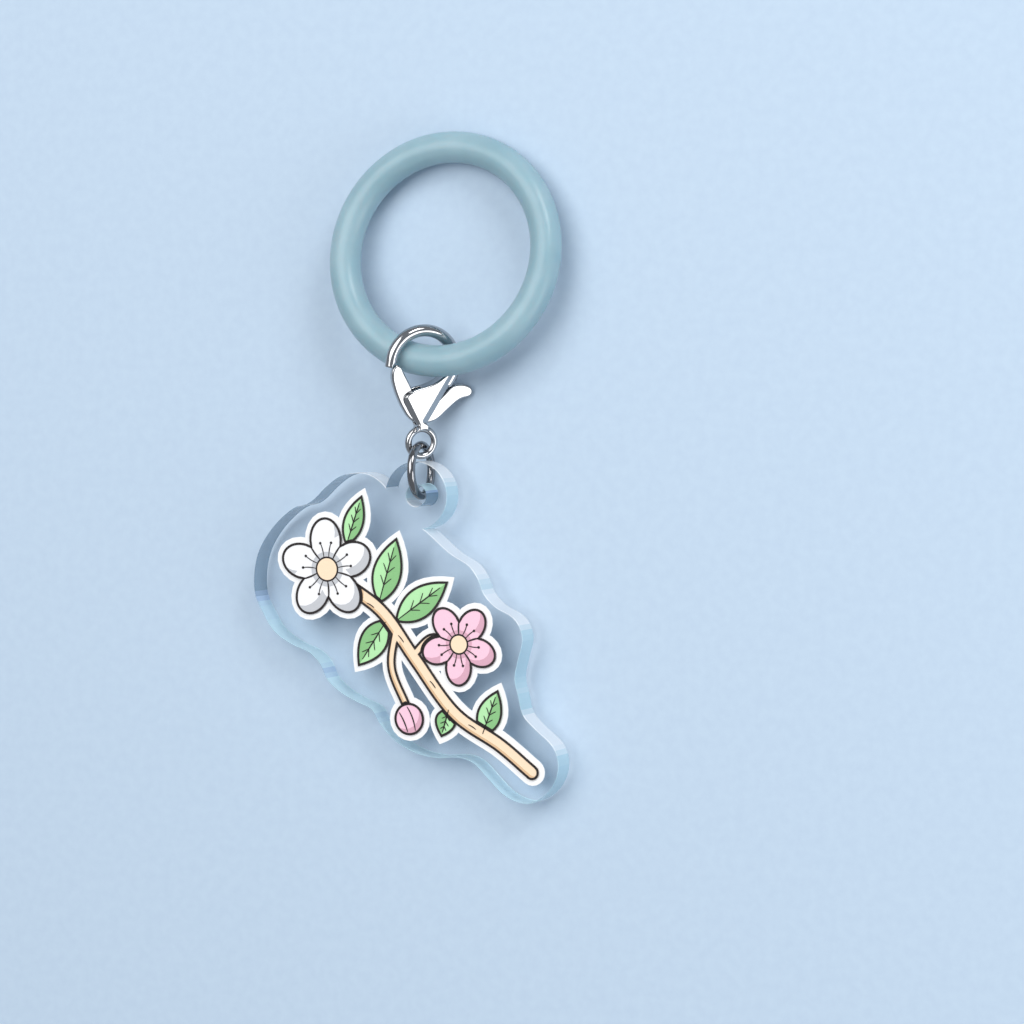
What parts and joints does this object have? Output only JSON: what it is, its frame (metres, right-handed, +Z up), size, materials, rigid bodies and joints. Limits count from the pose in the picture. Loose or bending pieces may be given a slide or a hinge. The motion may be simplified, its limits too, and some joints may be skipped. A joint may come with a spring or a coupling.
{
  "type": "acrylic charm with lobster clasp and silicone ring",
  "caption": "Clear acrylic charm printed with a blossom sprig, joined by a jump ring to a lobster clasp that holds a soft silicone ring for an umbrella handle.",
  "frame": {"origin": "on the surface that the charm lies on, below the middle of its bounding box", "axes": "+Z up, out of the printed face as the charm lies; +Y from the plate's tip to the clasp and the silicone ring; +X to the right seen from above"},
  "size_m": [0.0364, 0.0724, 0.0081],
  "materials": {
    "clear_acrylic": "clear, polished faces and laser-cut edges",
    "white_ink": "smooth print",
    "petal_white_ink": "smooth print",
    "pink_ink": "smooth print",
    "twig_ink": "smooth print",
    "green_ink": "smooth print",
    "polished_metal": "polished, nickel plated",
    "teal_silicone": "soft, slightly see-through, satin"
  },
  "bodies": {
    "clasp": {"clasp_body": "polished_metal"},
    "lever": {"clasp_lever": "polished_metal"},
    "loop": {"silicone_ring": "teal_silicone"},
    "link": {"jump_ring": "polished_metal"},
    "charm": {"acrylic_plate": "clear_acrylic", "print_base": "white_ink", "print_white_blossom": "petal_white_ink", "print_pink_blossom": "pink_ink", "print_bud": "pink_ink", "print_twig": "twig_ink", "print_leaf_1": "green_ink", "print_leaf_2": "green_ink", "print_leaf_3": "green_ink", "print_leaf_4": "green_ink", "print_leaf_5": "green_ink", "print_leaf_6": "green_ink"}
  },
  "joints": [
    {"name": "lever_hinge", "type": "hinge", "parent": "clasp", "child": "lever", "pos_m": [0.00233, 0.00551, 0.00389], "axis": [-0.6947, 0.1765, -0.6974], "range_deg": [0, 16], "stiffness_Nm_per_rad": 0.00005, "springref_deg": -17.19, "deforming": ["silicone_ring"]},
    {"name": "loop_swing", "type": "hinge", "parent": "clasp", "child": "loop", "pos_m": [0.0029, 0.01141, 0.00482], "axis": [0.9877, -0.155, 0.021], "range_deg": [-85, 120]},
    {"name": "link_swing", "type": "hinge", "parent": "clasp", "child": "link", "pos_m": [0.00205, 0.0011, 0.00306], "axis": [-1, 0, 0], "range_deg": [-40, 20]},
    {"name": "charm_turn", "type": "hinge", "parent": "link", "child": "charm", "pos_m": [0.00195, -0.00323, 0.0032], "axis": [0, 0, 1], "range_deg": [-45, 60]}
  ]
}
